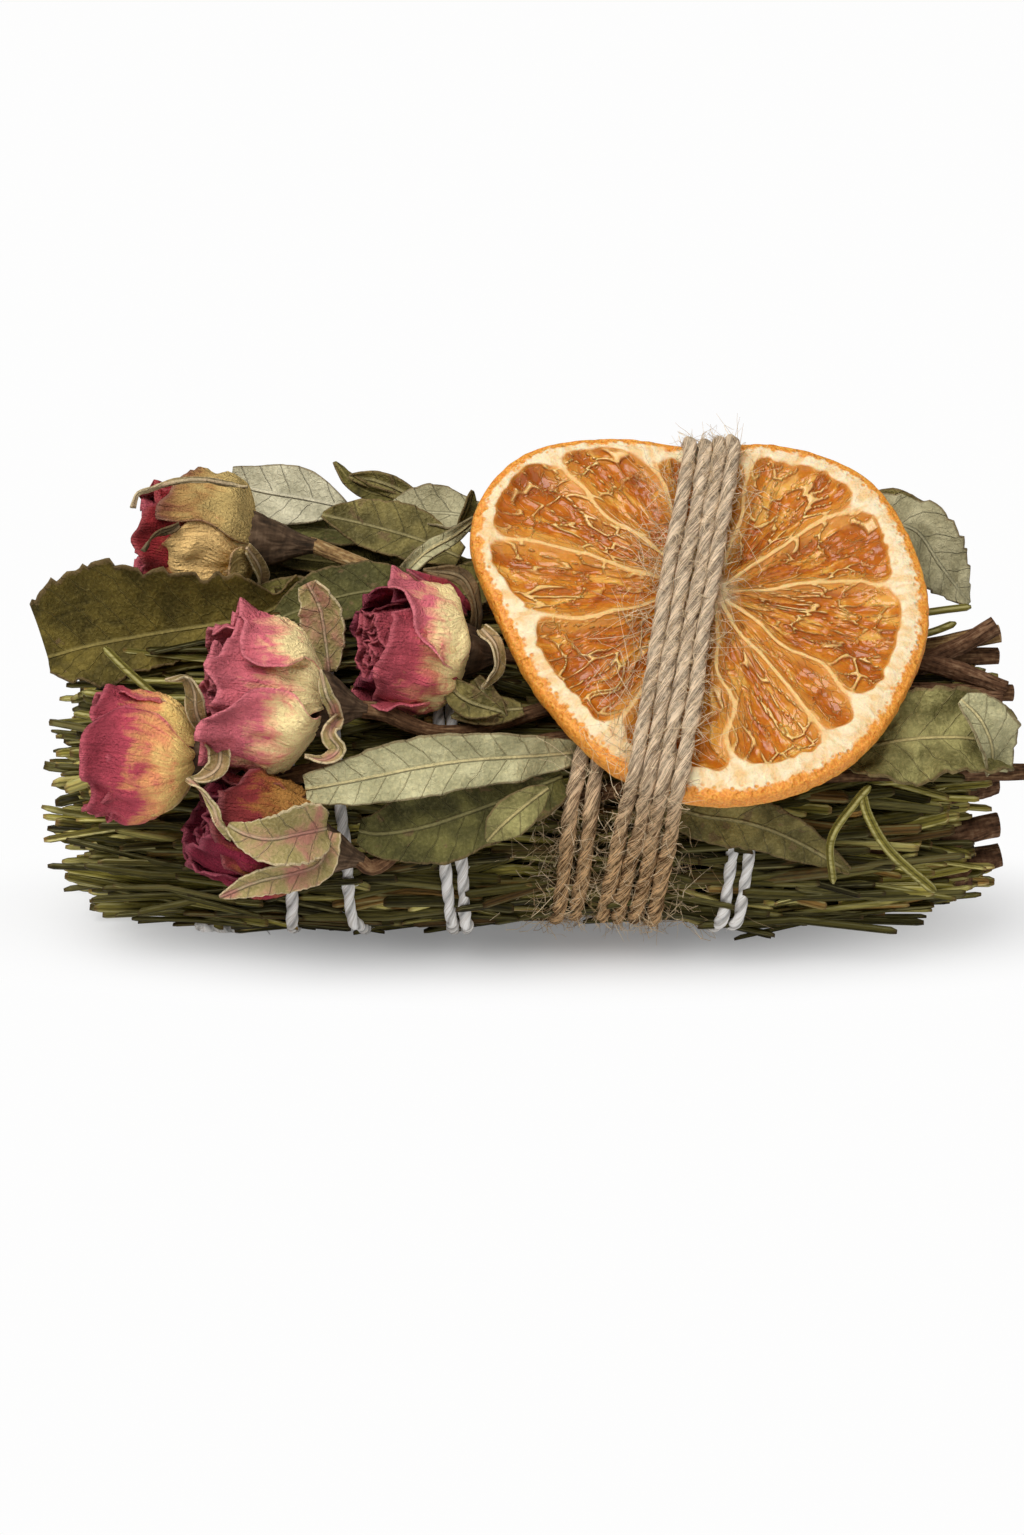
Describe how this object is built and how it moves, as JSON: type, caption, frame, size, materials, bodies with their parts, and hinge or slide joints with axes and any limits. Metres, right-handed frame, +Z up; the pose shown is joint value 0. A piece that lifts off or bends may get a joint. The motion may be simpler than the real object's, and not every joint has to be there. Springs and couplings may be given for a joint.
{
  "type": "smudge stick",
  "caption": "Bundle of dried rosemary wound with cotton string, dressed with leaves and rosebuds, and tied with jute twine that holds a dried orange slice.",
  "frame": {"origin": "middle of the bounding box's footprint, on the surface the bundle lies on", "axes": "+X runs along the bundle from the leaf tips and roses to the cut stems, -Y is the dressed front, +Z is up"},
  "size_m": [0.1432, 0.0702, 0.0731],
  "materials": {
    "rosemary": "dry matte needles on woody stems",
    "leaf": "dry matte leaf",
    "pale_leaf": "dry matte pale leaf",
    "petal": "dry matte petal",
    "bud": "dry matte petal, cream at its base",
    "calyx": "dry matte sepals",
    "bark": "dry matte bark",
    "orange": "dried fruit, slightly glossy flesh",
    "jute": "coarse twisted fibre",
    "cotton": "soft twisted fibre"
  },
  "bodies": {
    "root": {"cotton_string": "cotton", "jute_twine": "jute", "leaf_back_right": "leaf", "leaf_behind_left": "leaf", "leaf_behind_right": "leaf", "leaf_below_slice": "leaf", "leaf_beside_rose": "leaf", "leaf_cradle": "leaf", "leaf_curled": "leaf", "leaf_dark_tip": "leaf", "leaf_front_green": "leaf", "leaf_front_pale": "pale_leaf", "leaf_olive": "leaf", "leaf_pale_back": "pale_leaf", "leaf_pale_rib": "pale_leaf", "leaf_right_curl": "leaf", "leaf_under_rose": "leaf", "leaf_upright": "pale_leaf", "orange_slice": "orange", "rose_back_bud": "bud", "rose_back_calyx": "calyx", "rose_back_petal_back": "petal", "rose_back_petal_front": "petal", "rose_back_stem": "bark", "rose_left_bud": "bud", "rose_left_calyx": "calyx", "rose_left_petal_back": "petal", "rose_left_petal_front": "petal", "rose_left_stem": "bark", "rose_low_bud": "bud", "rose_low_calyx": "calyx", "rose_low_petal_back": "petal", "rose_low_petal_front": "petal", "rose_low_stem": "bark", "rose_middle_bud": "bud", "rose_middle_calyx": "calyx", "rose_middle_petal_back": "petal", "rose_middle_petal_front": "petal", "rose_middle_stem": "bark", "rose_right_bud": "bud", "rose_right_calyx": "calyx", "rose_right_petal_back": "petal", "rose_right_petal_front": "petal", "rose_right_stem": "bark", "rosemary_sprig_01": "rosemary", "rosemary_sprig_02": "rosemary", "rosemary_sprig_03": "rosemary", "rosemary_sprig_04": "rosemary", "rosemary_sprig_05": "rosemary", "rosemary_sprig_06": "rosemary", "rosemary_sprig_07": "rosemary", "rosemary_sprig_08": "rosemary", "rosemary_sprig_09": "rosemary", "rosemary_sprig_10": "rosemary", "rosemary_sprig_11": "rosemary", "rosemary_sprig_12": "rosemary", "rosemary_sprig_13": "rosemary", "rosemary_sprig_14": "rosemary", "rosemary_sprig_15": "rosemary", "rosemary_sprig_16": "rosemary"}
  },
  "joints": []
}
